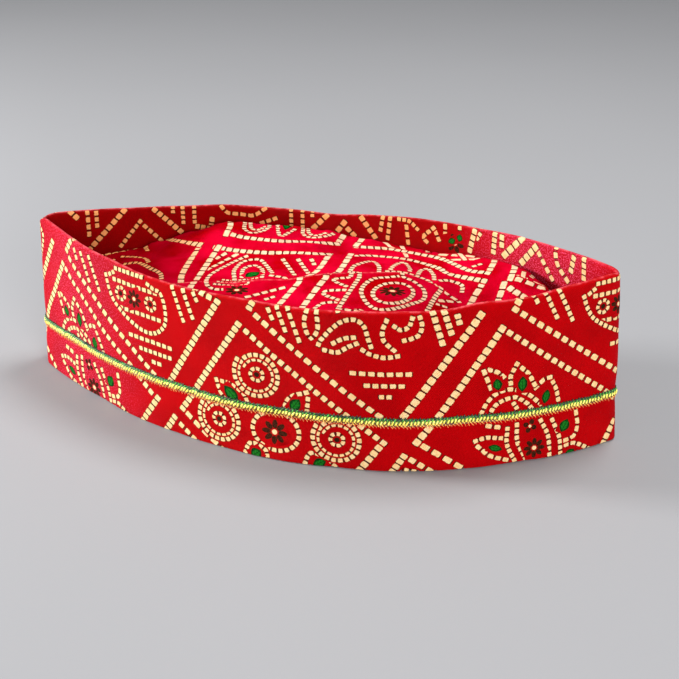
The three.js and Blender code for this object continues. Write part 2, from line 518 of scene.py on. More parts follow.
# A box with a paisley and curls between columns, over rows that shorten towards the box's corner
PAISLEY_BOX = chart("""
fine 2 -1,62.9 0.25,60.1
fine 4 2.4,64.8 5.6,56
fine 5 6.8,65 11.2,52.6
cell 5 62.4,66.6 65.9,54.1
cell 4 66.8,66.6 69.3,58.2
cell 2 71.8,64.75 72.4,62.25
fine 9 14.5,65 13.5,59.6 15.9,53.8 18.7,57.9 18.4,65
fine 19,51.8 20.1,54 24.4,59 28.6,62.3 33.4,63 36.6,60.5 37.8,56.5 39,52.8
fine 21.3,49.8 26.3,49.3 30,51.8 33.6,53.6
fine 36,51.2 39,49.5 44.2,48.4 49,49
fine 24.8,53 28.6,55.2 32.5,56
fine 2 26.5,66.2 25.6,68.6
fine 45,63.2 43.4,59 44,55 47.6,51.4
fine 51.6,55.4 56.6,57 58.4,61 57.6,64.5
fine 48,61 50.5,59.6 53.4,61 54.7,64.3
fine 7 32.1,41.5 53.1,41.5
fine 5 37.25,36.6 50.4,36.6
fine 2 42.75,32 45.6,32
""")

# The print repeats round the back after this length and climbs a little. The boxes and the lines
# between them are copied from these places of the chart on.
REPEAT = (205.4, 2.5)
BOXES_FROM = -34.0
SIDES_FROM = -62.9
CHART_FROM = -300.0


def front_print():
    """The print on the outer face: charted on the front, and repeated from there round the back."""
    boxes = Print()
    boxes.draw(SPIRAL_BOX)
    boxes.draw(PAISLEY_BOX)
    for move in (None, affine(PLANT_TO_LEFT)):
        boxes.draw(PLANT_BOX, move)
    for move in (None, shift(*DRUM_TO_RIGHT)):
        boxes.draw(DRUM_BOX, move)
    sides = Print()
    sides.draw(FRONT_SIDES)
    marks = Print()
    for part, start in ((boxes, BOXES_FROM), (sides, SIDES_FROM)):
        marks.take(part, CHART_FROM, start + REPEAT[0])
        for copy in (1, 2):
            marks.take(part, start, start + REPEAT[0], shift(copy * REPEAT[0], copy * REPEAT[1]))
    return marks


# The inner facing of the back wall: along it from its middle to the right, and up from the hem
FACING = chart("""
leaf 51.4,59.2 2.2 1.5 30
leaf 55.4,61.4 2 1.5 80
flower 53,58.4 4.4 6
cell 8 -102.9,66.4 -119.6,50
fine 6 -96,60.6 -105.2,50
fine 4 -93.8,58 -87,50.9
cell 6 -89,65.6 -77.7,54.6
cell 3 -8.9,63.1 -14.5,57.4
cell 2 -0.5,60.6 -2.9,57.4
cell 2 1.6,57.6 3.9,55.3
cell 4 8,63.5 13.8,55.5
block 4 87.1,68.5 78.6,59.2
block 4 95,67 87.9,58.5
step 4 97.1,64.9 104.6,56.4
step 5 106.4,71 107.5,64.2 113.2,58.6
cell 2 -126.4,68.9 -124.4,66.4
fine 4 -119.3,67.8 -119.3,57.4
fine 3 -115.4,67 -115.4,61
fine 2 -80.7,66.3 -80.7,64.2
fine 4 -76.2,66 -76.2,58.9
fine 4 -70.9,66 -70.9,58.8
cell 3 -69.7,56.5 -64.5,55.2
cell 2 -63.3,56.5 -62.8,59.5
fine 4 -25.5,65 -25.5,57
fine 4 -20.1,65 -20.1,57
fine 2 -15.4,65 -15.4,62.9
fine 3 17.9,65 16.8,59.2
fine 4 21.4,65 20.1,55.6
fine 3 29.3,62 30,55
fine 5 25.7,65.3 30.7,65 34.6,62
fine 2 48.2,65.3 48.2,61.7
fine 2 55.4,66 55.4,63.5
cell 4 62.9,66 60.4,56.7
fine 2 65.6,65.3 64.2,63.1
cell 4 73.2,67 72.5,58.9
cell 2 76.8,66.4 76.8,63.1
cell 3 116.8,69.2 115.4,63.5
cell 4 122.5,70.6 122.5,62.5
fine 7 -57.9,65.3 -55.4,62.6 -49.3,62 -43.2,61.4 -38.2,64.6
fine 3 -39.3,58 -33.2,60.3
fine 4 42.5,63.7 37.5,58.9 38.9,56.9
fine 2 43.7,61.7 45,58.9
""")


def facing_print():
    """The print on the inner faces: charted on the back wall, and the front's boxes inside the front."""
    marks = Print()

    def to_back(points):
        points = np.asarray(points, float)
        return np.stack([LOOP.back_middle - points[:, 0], points[:, 1]], 1)

    marks.draw(FACING, to_back)
    marks.draw(FRONT_SIDES)
    marks.draw(PAISLEY_BOX)
    marks.draw([row for row in DRUM_BOX if row[0] != "eye"])
    return marks


# The crown's print, read on a level plane at this height. Each point slides along the camera's line
# of sight to the crown's own height.
CROWN_CHART_HEIGHT = 56.0
CROWN_CHART = chart("""
ring 35,-8 8 1.3
leaf -25.4,-6.3 4.2 2.6 60
leaf -28,48.3 3 2 90
flower 34.6,-7.5 5.4 10
flower -26,-23.5 4.8 8
long -49.8,17.5 -45.8,-16.7
cell -51,18 -40,17 -27,18.5 -16,22 -1,24.3
long -0.8,24 -0.8,5 -4.2,-6.7 -5.4,-34
fine -30.8,-13.3 -34.2,-4.2 -33.8,5.8 -28.3,10 -23.3,5 -18.3,-2
fine -28.8,-10 -31,-1.7 -28,3.3 -23.3,0 -20.8,-7.5
tiny -35,-15 -30,-14.2 -22.5,-9.2
tiny -36.3,-17.5 -30.8,-17 -22,-11.7
tiny -36.7,-20.4 -26.7,-18.8 -20.4,-11.3
fine -26.7,-22 -35,-25 -40.4,-20.4 -42,-10.8 -38,3.3 -34.6,11.7
fine 5 -45,-5.8 -39.6,11.7
fine 2 -45.8,6.7 -44.6,11.3
fine 6 -17.5,-5 -11.3,-5.8 -10.8,-8.3 -15.8,-11.7
fine 5 -9.2,-16.3 -19.6,-28.3
fine 2 -10,-25.8 -11.7,-28.3
fine 6 -18,12.5 -8.8,-1.3
fine 5 -11.7,14.2 -3.8,2
fine 2 -6.3,15.8 -4.2,12
long -55.4,53 -52.5,36
cell -52.5,36 -43,33 -26.7,33.3 -14,36 -1,37
long -1,49 -1,39.5
fine -48.3,49 -46.7,43.3 -41.7,39.2 -37.5,43.3 -36.3,49
fine -45.8,49 -43.3,44 -40,43.8 -38.3,48.3
fine -33,50 -27.9,39.2 -24.6,48.8
fine -20.8,50 -18.8,44 -14.2,41.3 -9.2,44.2 -6.3,48.3
fine -18.3,49.2 -15.8,45 -12.5,44.6 -10,48.3
cell -76.3,21.3 -58.8,18.8
long -58.3,17 -54,-12 -51,-22
fine -88.1,9.7 -87.3,13.3 -83.5,13 -78.4,6.4
fine -85.4,-3.8 -81,-2.5 -75.5,-2.7 -72.5,-5.9
fine -81,-11.1 -76.2,-8.1 -68.6,-12.3 -62.7,-16.2 -60,-20.9
long 7.9,26.7 8,6.7 4.75,-1.7 4.2,-32.5
cell 10.5,26.2 16.7,28 32.5,28.3 46.7,23 53.3,17.5 68,14.6
long 67.8,12 66.7,-10.8 68.8,-16.7
fine 34,10 40.8,5.4 46.3,-1.7 48,-10.8 44.2,-16.7 38.3,-23.3 32.5,-25 27.5,-20.8 22.5,-10.8 22,-2.5 24.2,4.2
29.2,7 33.4,9.6
fine 17.9,-26.7 17.9,7.5
fine 27.5,13.3 35,13.8 46.7,8 52.5,2.5 52,-6.7 51.7,-20.8
fine 4 18.3,-28.8 29,-30
fine 12.5,10.4 13,15.8 18.3,22 22.5,18 24.2,12
fine 3 12.5,7.9 16,7.9
fine 28.3,16 29,21 32,24.6 35.8,19 36.3,16.5
fine 40.4,12.5 40.8,18.3 43.3,20.4 46.7,15 48,10.5
fine 50.8,10 54.2,10.8 60,7.5 61.3,0.8
fine 5 55,-1.7 60.4,-7.5 62.5,-9.2 55,-10
fine 2 54.2,-13.8 57.5,-15.4
fine 15.5,3 10,0 8.3,-1.7 10.4,-4.2 15,-6.7
fine 15.5,-10.8 10,-13 8,-15.4 9.6,-18 15.5,-20.8
fine 15.7,-23 10.8,-25.8 9.2,-30.8
long 8.3,49 7.5,39
cell 8,36.4 21.7,38 36.7,35.7 47,33 57.5,25.4 61.7,23.6 68,23.6
long 68,55 68.8,43.3 68.3,26.7
fine 5 12.5,49 22,40.8
fine 4 19.6,48 27.5,41.3
fine 6 38.8,45.4 55,43.8
fine 6 38.8,42.6 53,41.2
fine 3 46.3,38 57.5,40
fine 4 52,33.8 58.3,35.8 64.2,40.4
fine 2 61.3,29.2 63.3,31.7
long 76.3,12.5 76.7,-5
cell 3 79.5,9.8 86,3
long 78,38.3 78,21.7
step 5 81.3,20.4 95.8,12
fine 3 82,34.2 82.5,25.8
cell 4 80.5,23 95,15.5
fine 84.5,31.5 88.5,27.5 86,24.5
fine 92,26 97,21.5 101,18
""")
# The parts of the crown that the photograph doesn't show are filled with more boxes of the same kind.
CROWN_HIDDEN = chart("""
leaf 26,-38 3 2 80
leaf 90,-23 3 2 90
leaf -70,-22 3 2 20
long -45,-22 -43,-44
long -5.6,-39 -6,-50
long 4,-38 4,-50
long 68.8,-22 68,-38
cell -38,-37 -10,-40
cell 10,-40 62,-35
fine 22,-34 26,-29 31,-33
fine 38,-33 43,-28 48,-32
fine 54,-30 59,-25 63,-29
long -51,-28 -50,-42
cell -57,-32 -88,-21 -104,-10
cell -76,-26 -64,-27
fine -96,-4 -100,2 -96,8
cell -104,12 -92,24
long 77,-11 78,-32
cell 84,-4 108,-3
cell 84,-10 100,-9
fine 84,-16 90,-21 96,-16
fine 100,5 106,8 112,3
""")


def inside_polygon(points, polygon):
    """Which points lie inside a polygon, by the edges that a line to the right of each crosses."""
    inside = np.zeros(len(points), bool)
    x, y = points[:, 0], points[:, 1]
    for (x0, y0), (x1, y1) in zip(polygon, np.roll(polygon, -1, axis=0)):
        if y0 != y1:
            crossed = (y0 > y) != (y1 > y)
            inside ^= crossed & (x < x0 + (y - y0) * (x1 - x0) / (y1 - y0))
    return inside


def marks_at(points, quads):
    """The first quad that holds each point, or -1."""
    found = np.full(len(points), -1)
    order = np.argsort(points[:, 0])
    x = points[order, 0]
    for k, quad in enumerate(quads):
        first, last = np.searchsorted(x, (quad[:, 0].min(), quad[:, 0].max()))
        near = order[first:last]
        near = near[found[near] < 0]
        inside = np.ones(len(near), bool)
        for a, b in zip(quad, np.roll(quad, -1, axis=0)):
            along, across = b - a, points[near] - a
            inside &= along[0] * across[:, 1] - along[1] * across[:, 0] >= 0
        found[near[inside]] = k
    return found


def mix_corners(corners, x, y):
    """The value at x and y, from 0 to 1 each, between the values at a quad's corners."""
    a, b, c, d = (corners[:, None, k] for k in range(4))
    return a * (1 - x) * (1 - y) + b * x * (1 - y) + c * x * y + d * (1 - x) * y


def corner_values(points, quad, values):
    """Values at points inside quads, from the values at the quads' corners, by Newton's method."""
    a, b, c, d = (quad[:, None, k] for k in range(4))
    share = np.full(points.shape, 0.5)
    for _ in range(NEWTON_STEPS):
        x, y = share[..., :1], share[..., 1:]
        error = mix_corners(quad, x, y) - points
        along = (b - a) * (1 - y) + (c - d) * y
        up = (d - a) * (1 - x) + (c - b) * x
        scale = along[..., 0] * up[..., 1] - along[..., 1] * up[..., 0]
        scale = np.where(np.abs(scale) < NO_AREA, NO_AREA, scale)
        step_x = (error[..., 0] * up[..., 1] - error[..., 1] * up[..., 0]) / scale
        step_y = (along[..., 0] * error[..., 1] - along[..., 1] * error[..., 0]) / scale
        share = np.clip(share - np.stack([step_x, step_y], -1), -0.2, 1.2)
    share = np.clip(share, 0, 1)
    return mix_corners(values, share[..., :1], share[..., 1:])


# A sheet's points closer together than this are made one, and its slivers of triangles are left out.
MERGE = 0.01
SMALLEST_AREA = 1e-5
NEWTON_STEPS = 8
NO_AREA = 1e-9


class FlatSheet:
    """A flat sheet cut into triangles along the marks of its print."""

    def __init__(self, regions, groups, spare):
        """regions are polygons; groups give each print the regions that it is drawn in."""
        regions = [np.array(region, float) for region in regions]
        points, edges = [], []
        for polygon in regions + [quad for part, _ in groups for quad, *_ in part.marks]:
            first = len(points)
            count = len(polygon)
            edges.extend((first + k, first + (k + 1) % count) for k in range(count))
            points.extend(Vector(map(float, corner)) for corner in polygon)
        points.extend(Vector(map(float, corner)) for corner in spare)
        found, _, triangles, _, _, _ = delaunay_2d_cdt(points, edges, [], 0, MERGE)
        found = np.array([tuple(point) for point in found])
        triangles = np.array(triangles)
        corner = found[triangles]
        middle = corner.mean(axis=1)
        area = np.cross(corner[:, 1] - corner[:, 0], corner[:, 2] - corner[:, 0]) / 2
        region_of = np.full(len(triangles), -1)
        for k, region in enumerate(regions):
            region_of[inside_polygon(middle, region)] = k
        kept = (region_of >= 0) & (np.abs(area) > SMALLEST_AREA)
        used, places = np.unique(triangles[kept], return_inverse=True)
        self.points, self.triangles = found[used], places.reshape(-1, 3)
        self.region_of = region_of[kept]
        self.cloth, middle = corner[kept], middle[kept]
        self.local = np.zeros(self.cloth.shape)
        self.size = np.ones(self.cloth.shape)
        self.form = np.full(self.cloth.shape, (1.0, PLAIN))
        for part, allowed in groups:
            quads, local, size, form = (np.array(values, float) for values in zip(*part.marks))
            here = np.flatnonzero(np.isin(self.region_of, allowed))
            mark_of = marks_at(middle[here], quads)
            drawn, chosen = here[mark_of >= 0], mark_of[mark_of >= 0]
            self.local[drawn] = corner_values(self.cloth[drawn], quads[chosen], local[chosen])
            self.size[drawn] = size[chosen][:, None, :]
            self.form[drawn] = form[chosen][:, None, :]

    def maps(self, bake, from_fold):
        """The values at the triangles' corners that the material and its bake read."""
        fold = np.concatenate([from_fold, 0 * from_fold], -1)
        return {"OFBake": bake, "cloth": self.cloth, "local": self.local, "size": self.size,
                "form": self.form, "fold": fold}


def make_object(name, points, faces, maps, materials):
    """A mesh object from points in millimetres, faces and maps of values at the faces' corners."""
    mesh = bpy.data.meshes.new(name)
    mesh.from_pydata((np.asarray(points) * MM).tolist(), [], np.asarray(faces).tolist())
    for map_name, values in maps.items():
        layer = mesh.uv_layers.new(name=map_name)
        layer.uv.foreach_set("vector", np.ascontiguousarray(values, dtype=np.float32).ravel())
    for material in materials:
        mesh.materials.append(material)
    mesh.polygons.foreach_set("use_smooth", [True] * len(mesh.polygons))
    mesh.update()
    piece = bpy.data.objects.new(name, mesh)
    bpy.context.scene.collection.objects.link(piece)
    return piece


# The band's strip, flat: s along it, and q up its outer face, over its top edge and down its inner
# face, with a small turned hem beyond both.
FACE_RISE = 68.0
HEM_RADIUS = 0.52
HEM_TURN = math.pi * HEM_RADIUS
HEM_LEG = 4.0
EDGE_RADIUS = WALL / 2
EDGE_TURN = math.pi * EDGE_RADIUS
STRIP_LOW = -HEM_TURN - HEM_LEG
STRIP_FOLD = FACE_RISE + EDGE_TURN / 2
STRIP_HIGH = 2 * STRIP_FOLD - STRIP_LOW
# The strip's two ends meet at the left end of the cap and turn in there.
END_SEAM = {"reach": 0.8, "depth": 0.5}
# Waves of the wall: length along it, drift with height, and size
WALL_WAVES = [(61, 0.5, 0.3), (37, -0.7, 0.15), (23, 0.9, 0.08), (13, -0.4, 0.04)]
# The waves die away this near to the end seam, and are smaller on the inner face.
END_REACH = 12
INNER_WAVES = 0.8
# The braid's stitches pucker the wall and draw it in.
PUCKER = {"pitch": 5.7, "size": 0.09, "reach": 4}
DRAWN_IN = {"depth": 0.5, "reach": 5}
# Steps of the band's mesh: on its plain parts, and near its end folds and turns
COARSE = 2.6
FINE = 1.1
FOLD_REACH = 16
BAND_BAKE_MARGIN = 0.004


def strip_section(q, height):
    """How far inside the outer face, and how high, a point q of the strip lies."""
    mirrored = q > STRIP_FOLD
    q = np.where(mirrored, 2 * STRIP_FOLD - q, q)
    rise = height - EDGE_RADIUS - HEM_RADIUS
    edge_angle = np.clip(q - FACE_RISE, 0, None) / EDGE_RADIUS
    hem_angle = np.clip(-q, 0, HEM_TURN) / HEM_RADIUS
    leg = np.clip(-q - HEM_TURN, 0, None)
    inset = EDGE_RADIUS * (1 - np.cos(edge_angle)) + HEM_RADIUS * (1 - np.cos(hem_angle))
    z = HEM_RADIUS + rise * np.clip(q / FACE_RISE, 0, 1)
    z = z + EDGE_RADIUS * np.sin(edge_angle) - HEM_RADIUS * np.sin(hem_angle) + leg
    return np.where(mirrored, WALL - inset, inset), z


def chart_to_strip(marks, inner):
    """Moves a print from heights over the hem to places on the strip."""
    moved = Print()
    for quad, *sizes in marks.marks:
        height = edge_height(quad[:, 0])
        q = (quad[:, 1] - HEM_RADIUS) / (height - EDGE_RADIUS - HEM_RADIUS) * FACE_RISE
        if inner:
            q = 2 * STRIP_FOLD - q
        moved.add(np.stack([quad[:, 0], q], 1), *sizes)
    return moved


def wall_waves(s, z):
    """Gentle unevenness of the stiffened cloth, outwards."""
    draw = random.Random(7)
    waves = 0 * s
    for length, drift, size in WALL_WAVES:
        waves = waves + size * np.sin(2 * np.pi * (s + drift * z) / length + draw.uniform(0, 6))
    from_braid = z - BRAID_MIDDLE
    pucker = PUCKER["size"] * np.sin(2 * np.pi * s / PUCKER["pitch"] + 0.8 * np.sin(s / 9))
    waves = waves + pucker * bell(from_braid / PUCKER["reach"])
    ends = ease(0, END_REACH, s - LOOP.start) * ease(0, END_REACH, LOOP.end - s)
    return waves * ends - DRAWN_IN["depth"] * bell(from_braid / DRAWN_IN["reach"])


def band_points(flat):
    s, q = flat[:, 0], flat[:, 1]
    height = edge_height(s)
    inset, z = strip_section(q, height)
    from_seam = np.minimum(s - LOOP.start, LOOP.end - s)
    seam = END_SEAM["depth"] * np.clip(1 - from_seam / END_SEAM["reach"], 0, 1) ** 2
    outer_share = 1 - inset / WALL
    inset = inset - wall_waves(s, z) * mix(INNER_WAVES, 1, outer_share) + seam * np.sign(outer_share - 0.5)
    return wall_point(s, inset, z)


def band_spare_points():
    """Points all over the strip, closer together at its folds and turns."""
    left, right, end = LOOP.start, LOOP.right_end, LOOP.end
    seam = np.array([0.3, END_SEAM["reach"]])
    columns = np.unique(np.round(np.concatenate([
        left + seam,
        end - seam,
        spread(left, left + FOLD_REACH, FINE),
        spread(left + FOLD_REACH, right - FOLD_REACH, COARSE),
        spread(right - FOLD_REACH, right + FOLD_REACH, FINE),
        spread(right + FOLD_REACH, end - FOLD_REACH, COARSE),
        spread(end - FOLD_REACH, end, FINE),
    ]), 4))
    face_rows = np.concatenate([[STRIP_LOW], spread(2, FACE_RISE - 2, COARSE)])
    turn_rows = np.concatenate([
        -spread(0, HEM_TURN, HEM_TURN / 5),
        spread(FACE_RISE, STRIP_FOLD, EDGE_TURN / 8),
    ])
    points = []
    for rows, across in ((face_rows, columns), (turn_rows, spread(left, end, FINE))):
        both = np.unique(np.concatenate([rows, 2 * STRIP_FOLD - rows]))
        points.append(grid_points(across, both))
    return np.concatenate(points)


def make_band(material):
    outer = chart_to_strip(front_print(), False)
    inner = chart_to_strip(facing_print(), True)
    lows = [(s, q) for q in (STRIP_LOW, STRIP_FOLD) for s in (LOOP.start, LOOP.right_end)]
    highs = [(s, q) for q in (STRIP_FOLD, STRIP_HIGH) for s in (LOOP.right_end, LOOP.end)]
    regions = [rectangle(*low, *high) for low, high in zip(lows, highs)]
    sheet = FlatSheet(regions, [(outer, (0, 1)), (inner, (2, 3))], band_spare_points())
    low = np.array(lows)[sheet.region_of][:, None, :]
    reach = (LOOP.right_end - LOOP.start, STRIP_FOLD - STRIP_LOW)
    share = np.clip((sheet.cloth - low) / reach, 0, 1)
    bake = share * (1 - 2 * BAND_BAKE_MARGIN) + BAND_BAKE_MARGIN
    bake[..., 1] = (bake[..., 1] + sheet.region_of[:, None]) / len(regions)
    maps = sheet.maps(bake, np.abs(sheet.cloth[..., 1:] - STRIP_FOLD))
    piece = make_object("printed_band", band_points(sheet.points), sheet.triangles, maps, [material])
    width, length = LOOP.end - LOOP.start, STRIP_HIGH - STRIP_LOW
    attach(piece, "root")
    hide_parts("band")
    width * MM
    length * MM


# How far the crown lies below the top edge, along the cap: in its front half, and close to the
# back wall, where it stands higher.
CROWN_DEPTHS = [(-118, 22), (-95, 20), (-80, 15.5), (-60, 12), (-40, 10.5), (-15, 9.5), (10, 8), (32, 9),
                (48, 12.5), (60, 16), (80, 18.5), (100, 20.5), (118, 22)]
CROWN_BACK_DEPTHS = [(-118, 22), (-90, 18), (-83, 15), (-68, 10.5), (-53, 5.2), (-32, 5.8), (-9, 7), (1, 9),
                     (24, 11.2), (39, 12.4), (65, 10.6), (81, 10.5), (91, 13.5), (99, 16.5), (118, 22)]
# The back half begins and is complete at these shares of the way from the middle to the back wall.
CROWN_BACK = (0.12, 0.68)
CROWN_RIM_INSET = WALL - 0.8
CROWN_PUFF_REACH = {"front": 12.0, "back": 6.5}
# A tuck aslant over the crown: the cloth swells up to it from the front and drops behind it, with
# a narrow crest where it is creased.
TUCK_LINE = [(-55.3, -26.1), (-42, -21.5), (-26.5, -18), (-16.5, -14.5), (-5.4, -11), (2.6, -7.5), (11.6, -3),
             (23.3, 2.5), (33, 6.2), (40, 7)]
TUCK_RISE = 2.3
TUCK_WIDTHS = {"front": 14.0, "back": 1.1}
CREST = {"rise": 0.45, "width": 0.5}
TUCK_ROWS = (-2.6, -1.4, -0.7, -0.3, 0.0, 0.3, 0.7, 1.2, 1.9)
# Soft dents and swells of the crown: x, y, half length, half width, angle and height
CROWN_SWELLS = [
    (-72, -2, 14, 7, -35, 1.6),
    (-66, 14, 16, 5, 20, -1.4),
    (-88, 5, 8, 6, 60, 1.2),
    (25, -18, 20, 9, 15, 1.0),
    (52, 20, 16, 7, -30, -0.8),
    (84, 8, 9, 7, 20, 1.0),
    (0, 30, 14, 6, 10, -0.8),
    (-30, -30, 14, 6, 20, -1.0),
    (98, 19, 11, 3, -27, -3.5),
]
# Waves of the crown: length and size
CROWN_WAVES = [(31, 0.3), (19, 0.2), (11, 0.1)]
# Gathers along the crown's seam: their size, how far in they reach, and the oval they are spaced on
GATHER = {"size": 0.45, "reach": 5, "oval": (120, 50), "spacing": 110}
# Places of the crown's mesh: points round its seam, the step and half size of its grid, how near the
# seam the grid comes, rows inside the seam, and the step along the tuck
RIM_STEPS = 420
CROWN_STEP = 1.7
CROWN_GRID = (124, 58)
RIM_CLEARANCE = 0.9
RIM_ROWS = (1.0, 2.1, 3.4, 5.0)
TUCK_STEP = 0.8
# The chart's points slide along the line of sight in this many steps, by this share each time.
SIGHT_STEPS = 14
SIGHT_SHARE = 0.6
BAKE_MARGIN = 0.01


def eased_rows(rows, x):
    """Values of a table of x and value, eased from row to row."""
    value = 0 * x + rows[-1][1]
    for (x0, v0), (x1, v1) in zip(rows, rows[1:]):
        inside = (x >= x0) & (x < x1)
        value = np.where(inside, mix(v0, v1, ease(x0, x1, x)), value)
    return value


def distance_to_line(points, line):
    """Distance from points to a line of segments, and on which side of it they lie."""
    best = np.full(len(points), np.inf)
    side = np.zeros(len(points))
    for a, b in zip(line, line[1:]):
        along = b - a
        from_a = points - a
        share = np.clip(from_a @ along / (along @ along), 0, 1)
        away = from_a - share[:, None] * along
        distance = np.hypot(away[:, 0], away[:, 1])
        nearer = distance < best
        turn = along[0] * from_a[:, 1] - along[1] * from_a[:, 0]
        best = np.where(nearer, distance, best)
        side = np.where(nearer, np.sign(turn), side)
    return best, side


def crown_rim():
    """The crown's seam, seen from above."""
    s = np.linspace(LOOP.start, LOOP.end, RIM_STEPS, endpoint=False)
    t, _ = LOOP.place(s)
    return wall_point(s, CROWN_RIM_INSET, edge_line(t) - SEAM_DEPTH)[:, :2]


def from_rim(flat, rim):
    return distance_to_line(flat, np.concatenate([rim, rim[:1]]))


def crown_heights(flat, rim):
    x, y = flat[:, 0], flat[:, 1]
    inwards, _ = from_rim(flat, rim)
    t = (x - TOP["shift"]) / TOP["half"]
    behind = ease(*CROWN_BACK, y / side_at(TOP, 1, np.clip(t, -0.97, 0.97))[1])
    reach = mix(CROWN_PUFF_REACH["front"], CROWN_PUFF_REACH["back"], behind)
    full = 1 - (1 - np.clip(inwards / reach, 0, 1)) ** 3
    depth = mix(eased_rows(CROWN_DEPTHS, x), eased_rows(CROWN_BACK_DEPTHS, x), behind)
    away, side = distance_to_line(flat, np.array(TUCK_LINE, float))
    width = np.where(side < 0, TUCK_WIDTHS["front"], TUCK_WIDTHS["back"])
    puff = TUCK_RISE * bell(away / width) + CREST["rise"] * bell(away / CREST["width"])
    for cx, cy, length, breadth, angle, height in CROWN_SWELLS:
        cos, sin = math.cos(math.radians(angle)), math.sin(math.radians(angle))
        u = (x - cx) * cos + (y - cy) * sin
        v = (y - cy) * cos - (x - cx) * sin
        puff = puff + height * bell(u / length) * bell(v / breadth)
    draw = random.Random(11)
    for length, size in CROWN_WAVES:
        angle = draw.uniform(0, math.pi)
        wave = (x * math.cos(angle) + y * math.sin(angle)) / length
        puff = puff + size * np.sin(2 * np.pi * wave + draw.uniform(0, 6))
    along = np.arctan2(y / GATHER["oval"][1], x / GATHER["oval"][0]) * GATHER["spacing"]
    gather = GATHER["size"] * np.sin(along / 1.1 + 1.3 * np.sin(along / 7))
    gather = gather * np.exp(-inwards / GATHER["reach"]) * ease(0, 1.5, inwards)
    return edge_line(np.clip(t, -1, 1)) - mix(SEAM_DEPTH, depth, full) + full * puff + gather


def crown_print(rim):
    """The crown's print, slid from the level plane where it was read to the crown's own height."""
    marks = Print()
    eye = np.array(CAMERA)

    def to_crown(points):
        points = np.asarray(points, float)
        place = points.copy()
        for _ in range(SIGHT_STEPS):
            z = crown_heights(place, rim)
            share = (eye[2] - z) / (eye[2] - CROWN_CHART_HEIGHT)
            place = mix(place, eye[:2] + (points - eye[:2]) * share[:, None], SIGHT_SHARE)
        return place

    marks.draw(CROWN_CHART, to_crown)
    marks.draw(CROWN_HIDDEN)
    return marks


def crown_spare_points(rim, tuck):
    """Points all over the crown, and rows of them along its seam and its tuck."""
    grid = grid_points(*(spread(-half, half, CROWN_STEP) for half in CROWN_GRID))
    distance, side = from_rim(grid, rim)
    inward = unit(rim.mean(axis=0) - rim)
    sideways = unit(left_of(np.gradient(tuck, axis=0)))
    rows = [rim + inward * row for row in RIM_ROWS] + [tuck + sideways * row for row in TUCK_ROWS]
    return np.concatenate([grid[(side > 0) & (distance > RIM_CLEARANCE)]] + rows)


def make_crown(material):
    rim = crown_rim()
    tuck = curve_through(TUCK_LINE, TUCK_STEP)
    sheet = FlatSheet([rim], [(crown_print(rim), (0,))], crown_spare_points(rim, tuck))
    flat = sheet.points
    points = np.column_stack([flat, crown_heights(flat, rim)])
    low, high = flat.min(axis=0), flat.max(axis=0)
    size = high - low
    bake = (sheet.cloth - low) / size * (1 - 2 * BAKE_MARGIN) + BAKE_MARGIN
    maps = sheet.maps(bake, distance_to_line(flat, tuck)[0][sheet.triangles][..., None])
    piece = make_object("sunken_crown", points, sheet.triangles, maps, [material])
    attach(piece, "root")
    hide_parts("crown")


# The braid, from the top: dark and bright green stitches, a row of pale yellow ones aslant, gold ones
# that lean the other way, and a fringe of orange ones. Three cords lie under them. Heights are from
# the braid's middle. Cords: yarn, height, distance out, and its strands' orbit and radius
ROPES = [
    ("dark", 0.95, 0.2, 0.25, 0.45),
    ("olive", 0.0, 0.35, 0.25, 0.45),
    ("brown", -1.2, 0.2, 0.2, 0.4),
]
ROPE_TWIST = 3.5
ROPE_STRANDS = 2
STEPS_PER_TWIST = 4
# Stitches: yarn, height of both ends, lean along, start as a share of the pitch, radius, distance out
STITCH_ROWS = [
    ("dark", 0.7, 2.0, 0.85, 0.5, 0.27, 0.55),
    ("green", 0.5, 1.5, 0.75, 0.0, 0.27, 0.75),
    ("yellow", -0.75, 0.65, 0.8, 0.2, 0.45, 0.85),
    ("gold", -1.6, -0.85, -0.5, 0.0, 0.3, 0.6),
    ("orange", -2.5, -1.5, -0.65, 0.5, 0.2, 0.3),
]
STITCH_PITCH = 1.42
# How far a stitch's ends stray, along and up
STRAY = (0.2, 0.25)
HIGH_END_OUT = 0.6
# A stitch's rings: share of its length and of its radius
STITCH_RINGS = [(-0.06, 0.25), (0.1, 0.85), (0.5, 1.0), (0.9, 0.85), (1.06, 0.25)]
YARN_SIDES = 6
# The braid's bake is a square of cells, one for each stitch and for each stretch of a cord.
BAKE_CELLS = 50
CORD_STRETCHES = 40
CELL_MARGIN = 0.05


def wall_frame(s, z):
    """A point of the wall's outer face with the directions outwards and up."""
    inset = -wall_waves(s, z + 0 * s)
    here = wall_point(s, inset, z)
    along = unit(wall_point(s + 0.2, inset, z) - here)
    up = unit(wall_point(s, inset, z + 0.5) - here)
    return here, np.cross(along, up), up


def yarn_ring(middle, axis, out, radius):
    """Points round a yarn's middle, square to its axis."""
    side = unit(np.cross(axis, out))
    face = np.cross(side, axis)
    points = []
    for k in range(YARN_SIDES):
        angle = 2 * math.pi * k / YARN_SIDES
        points.append(middle + radius * (math.cos(angle) * face + math.sin(angle) * side))
    return np.stack(points, 1)


def cord_rings(s, strand, rise, distance, orbit, radius):
    here, out, up = wall_frame(s, BRAID_MIDDLE + rise)
    turn = 2 * np.pi * (s / ROPE_TWIST + strand / ROPE_STRANDS)
    middle = here + out * (distance + orbit * np.cos(turn))[:, None] + up * (orbit * np.sin(turn))[:, None]
    axis = unit(np.roll(middle, -1, axis=0) - np.roll(middle, 1, axis=0))
    return yarn_ring(middle, axis, out, radius)


